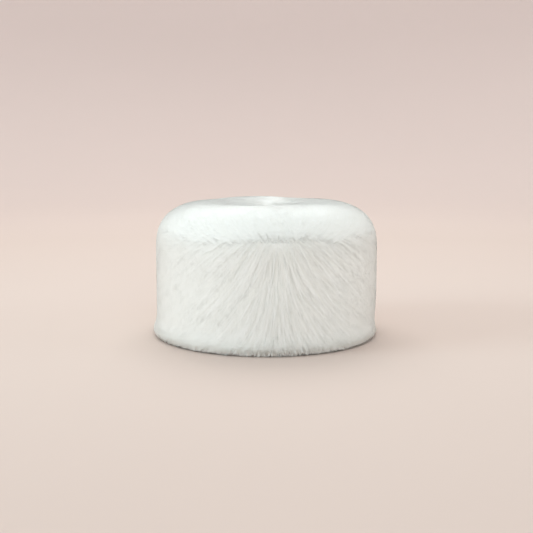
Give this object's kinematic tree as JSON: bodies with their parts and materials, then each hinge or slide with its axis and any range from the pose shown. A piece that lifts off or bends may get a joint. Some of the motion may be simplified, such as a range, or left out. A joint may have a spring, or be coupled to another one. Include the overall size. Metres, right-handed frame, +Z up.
{
  "type": "white fur drum hat, turkmen telpek style",
  "caption": "Oval drum-shaped hat of pale hide under deep straight white fur, with a domed crown, a fur parting at the crown seam and an open hollow for the head.",
  "frame": {"origin": "on the floor at the middle of the hem, under the middle of the hat", "axes": "+Z up through the crown, the front of the hat faces -Y, +X to the right seen from the front, the longer side of the oval along Y"},
  "size_m": [0.222, 0.2457, 0.1323],
  "materials": {
    "band_hide": "suede flesh side of a tanned hide",
    "crown_hide": "suede flesh side of a tanned hide",
    "band_fur": "long straight silky white fur",
    "crown_fur": "long straight silky white fur"
  },
  "bodies": {
    "root": {"side_hide": "band_hide", "crown_hide": "crown_hide", "side_fur": "band_fur", "crown_fur": "crown_fur"}
  },
  "joints": []
}
